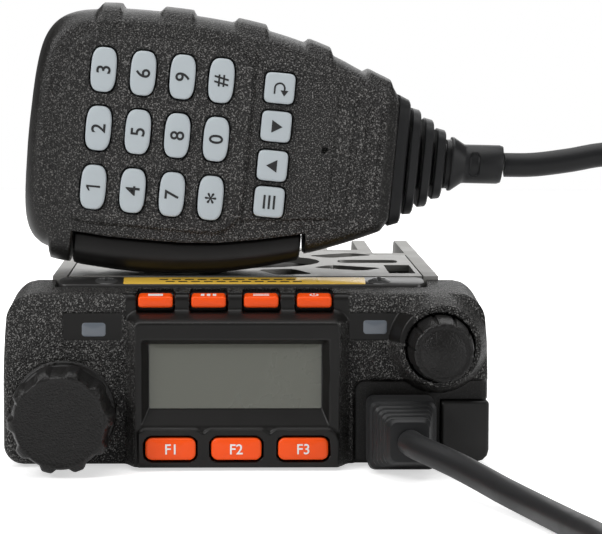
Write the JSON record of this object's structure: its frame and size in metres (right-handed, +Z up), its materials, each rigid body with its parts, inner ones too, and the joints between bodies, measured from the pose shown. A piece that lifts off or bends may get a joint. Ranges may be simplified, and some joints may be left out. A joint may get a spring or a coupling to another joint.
{
  "type": "mobile transceiver",
  "caption": "Compact mobile radio transceiver with display, knobs and push buttons, and a keypad hand microphone that lifts off, on a curly cord.",
  "frame": {"origin": "middle of the radio's flat underside, midway between its sides", "axes": "+X to the radio's right seen from the front, +Y to its back, +Z up"},
  "size_m": [0.174, 0.2771, 0.0928],
  "materials": {
    "cast_metal": "matt cast",
    "sheet_metal": "satin",
    "panel_black": "grained",
    "mic_black": "grained",
    "black_rubber": "satin",
    "orange_button": "soft gloss",
    "key_grey": "satin",
    "display_pane": "gloss",
    "display_frame": "satin",
    "lamp_lens": "frosted",
    "circuit_board": "solder mask",
    "speaker_black": "paper cone",
    "control_metal": "plated",
    "plated_steel": "nickel plate",
    "clear_plastic": "moulded",
    "label_yellow": "printed film"
  },
  "bodies": {
    "radio": {"chassis": "cast_metal", "bottom_plate": "sheet_metal", "top_cover": "sheet_metal", "trim_plate": "sheet_metal", "front_panel": "panel_black", "corner_block": "panel_black", "mic_socket": "panel_black", "speaker_jack": "panel_black", "power_inlet": "black_rubber", "cord_curly": "black_rubber", "display_window": "display_pane", "display_module": "display_frame", "led_lens_left": "lamp_lens", "led_lens_right": "lamp_lens", "control_board": "circuit_board", "main_board": "circuit_board", "speaker": "speaker_black", "tuning_encoder": "control_metal", "volume_control": "control_metal", "trim_screw_left": "plated_steel", "trim_screw_right": "plated_steel", "antenna_socket": "plated_steel", "label_strip": "label_yellow"},
    "microphone": {"mic_front_shell": "mic_black", "mic_back_shell": "mic_black", "mic_board": "circuit_board", "mic_capsule": "control_metal", "ptt_switch": "mic_black", "hang_stud": "plated_steel", "mic_strain_relief": "black_rubber", "cord_mic_tail": "black_rubber"},
    "plug": {"plug_boot": "black_rubber", "plug_connector": "clear_plastic", "cord_plug_tail": "black_rubber"},
    "tuning_knob": {"tuning_knob": "panel_black"},
    "volume_knob": {"volume_knob": "panel_black"},
    "top_button_1": {"top_button_1": "orange_button"},
    "top_button_2": {"top_button_2": "orange_button"},
    "top_button_3": {"top_button_3": "orange_button"},
    "top_button_4": {"top_button_4": "orange_button"},
    "front_button_1": {"front_button_1": "orange_button"},
    "front_button_2": {"front_button_2": "orange_button"},
    "front_button_3": {"front_button_3": "orange_button"},
    "key_1": {"key_1": "key_grey"},
    "key_4": {"key_4": "key_grey"},
    "key_7": {"key_7": "key_grey"},
    "key_star": {"key_star": "key_grey"},
    "key_2": {"key_2": "key_grey"},
    "key_5": {"key_5": "key_grey"},
    "key_8": {"key_8": "key_grey"},
    "key_0": {"key_0": "key_grey"},
    "key_3": {"key_3": "key_grey"},
    "key_6": {"key_6": "key_grey"},
    "key_9": {"key_9": "key_grey"},
    "key_hash": {"key_hash": "key_grey"},
    "key_menu": {"key_menu": "key_grey"},
    "key_up": {"key_up": "key_grey"},
    "key_down": {"key_down": "key_grey"},
    "key_back": {"key_back": "key_grey"},
    "ptt_lever": {"ptt_lever": "mic_black"}
  },
  "joints": [
    {"name": "tuning_turn", "type": "hinge", "parent": "radio", "child": "tuning_knob", "pos_m": [-0.0368, -0.063, 0.0111], "axis": [0, 1, 0], "continuous": true},
    {"name": "volume_turn", "type": "hinge", "parent": "radio", "child": "volume_knob", "pos_m": [0.0388, -0.063, 0.0249], "axis": [0, 1, 0], "range_deg": [0, 280]},
    {"name": "top_button_1_press", "type": "slide", "parent": "radio", "child": "top_button_1", "axis": [0, 0, -1], "range_m": [0, 0.0008], "stiffness_N_per_m": 800, "springref_m": -0.0003},
    {"name": "top_button_2_press", "type": "slide", "parent": "radio", "child": "top_button_2", "axis": [0, 0, -1], "range_m": [0, 0.0008], "stiffness_N_per_m": 800, "springref_m": -0.0003},
    {"name": "top_button_3_press", "type": "slide", "parent": "radio", "child": "top_button_3", "axis": [0, 0, -1], "range_m": [0, 0.0008], "stiffness_N_per_m": 800, "springref_m": -0.0003},
    {"name": "top_button_4_press", "type": "slide", "parent": "radio", "child": "top_button_4", "axis": [0, 0, -1], "range_m": [0, 0.0008], "stiffness_N_per_m": 800, "springref_m": -0.0003},
    {"name": "front_button_1_press", "type": "slide", "parent": "radio", "child": "front_button_1", "axis": [0, 1, 0], "range_m": [0, 0.0008], "stiffness_N_per_m": 800, "springref_m": -0.0003},
    {"name": "front_button_2_press", "type": "slide", "parent": "radio", "child": "front_button_2", "axis": [0, 1, 0], "range_m": [0, 0.0008], "stiffness_N_per_m": 800, "springref_m": -0.0003},
    {"name": "front_button_3_press", "type": "slide", "parent": "radio", "child": "front_button_3", "axis": [0, 1, 0], "range_m": [0, 0.0008], "stiffness_N_per_m": 800, "springref_m": -0.0003},
    {"name": "key_1_press", "type": "slide", "parent": "microphone", "child": "key_1", "axis": [0, 1, 0], "range_m": [0, 0.0008], "stiffness_N_per_m": 600, "springref_m": -0.0003},
    {"name": "key_4_press", "type": "slide", "parent": "microphone", "child": "key_4", "axis": [0, 1, 0], "range_m": [0, 0.0008], "stiffness_N_per_m": 600, "springref_m": -0.0003},
    {"name": "key_7_press", "type": "slide", "parent": "microphone", "child": "key_7", "axis": [0, 1, 0], "range_m": [0, 0.0008], "stiffness_N_per_m": 600, "springref_m": -0.0003},
    {"name": "key_star_press", "type": "slide", "parent": "microphone", "child": "key_star", "axis": [0, 1, 0], "range_m": [0, 0.0008], "stiffness_N_per_m": 600, "springref_m": -0.0003},
    {"name": "key_2_press", "type": "slide", "parent": "microphone", "child": "key_2", "axis": [0, 1, 0], "range_m": [0, 0.0008], "stiffness_N_per_m": 600, "springref_m": -0.0003},
    {"name": "key_5_press", "type": "slide", "parent": "microphone", "child": "key_5", "axis": [0, 1, 0], "range_m": [0, 0.0008], "stiffness_N_per_m": 600, "springref_m": -0.0003},
    {"name": "key_8_press", "type": "slide", "parent": "microphone", "child": "key_8", "axis": [0, 1, 0], "range_m": [0, 0.0008], "stiffness_N_per_m": 600, "springref_m": -0.0003},
    {"name": "key_0_press", "type": "slide", "parent": "microphone", "child": "key_0", "axis": [0, 1, 0], "range_m": [0, 0.0008], "stiffness_N_per_m": 600, "springref_m": -0.0003},
    {"name": "key_3_press", "type": "slide", "parent": "microphone", "child": "key_3", "axis": [0, 1, 0], "range_m": [0, 0.0008], "stiffness_N_per_m": 600, "springref_m": -0.0003},
    {"name": "key_6_press", "type": "slide", "parent": "microphone", "child": "key_6", "axis": [0, 1, 0], "range_m": [0, 0.0008], "stiffness_N_per_m": 600, "springref_m": -0.0003},
    {"name": "key_9_press", "type": "slide", "parent": "microphone", "child": "key_9", "axis": [0, 1, 0], "range_m": [0, 0.0008], "stiffness_N_per_m": 600, "springref_m": -0.0003},
    {"name": "key_hash_press", "type": "slide", "parent": "microphone", "child": "key_hash", "axis": [0, 1, 0], "range_m": [0, 0.0008], "stiffness_N_per_m": 600, "springref_m": -0.0003},
    {"name": "key_menu_press", "type": "slide", "parent": "microphone", "child": "key_menu", "axis": [0, 1, 0], "range_m": [0, 0.0008], "stiffness_N_per_m": 600, "springref_m": -0.0003},
    {"name": "key_up_press", "type": "slide", "parent": "microphone", "child": "key_up", "axis": [0, 1, 0], "range_m": [0, 0.0008], "stiffness_N_per_m": 600, "springref_m": -0.0003},
    {"name": "key_down_press", "type": "slide", "parent": "microphone", "child": "key_down", "axis": [0, 1, 0], "range_m": [0, 0.0008], "stiffness_N_per_m": 600, "springref_m": -0.0003},
    {"name": "key_back_press", "type": "slide", "parent": "microphone", "child": "key_back", "axis": [0, 1, 0], "range_m": [0, 0.0008], "stiffness_N_per_m": 600, "springref_m": -0.0003},
    {"name": "ptt_press", "type": "hinge", "parent": "microphone", "child": "ptt_lever", "pos_m": [0.01003, -0.0353, 0.04109], "axis": [0, 1, 0], "range_deg": [0, 3], "stiffness_Nm_per_rad": 0.8, "springref_deg": -2.86},
    {"name": "microphone_lift", "type": "slide", "parent": "radio", "child": "microphone", "axis": [0, 0, 1], "range_m": [0, 0.04]},
    {"name": "plug_pull", "type": "slide", "parent": "radio", "child": "plug", "axis": [0, -1, 0], "range_m": [0, 0.012]}
  ]
}
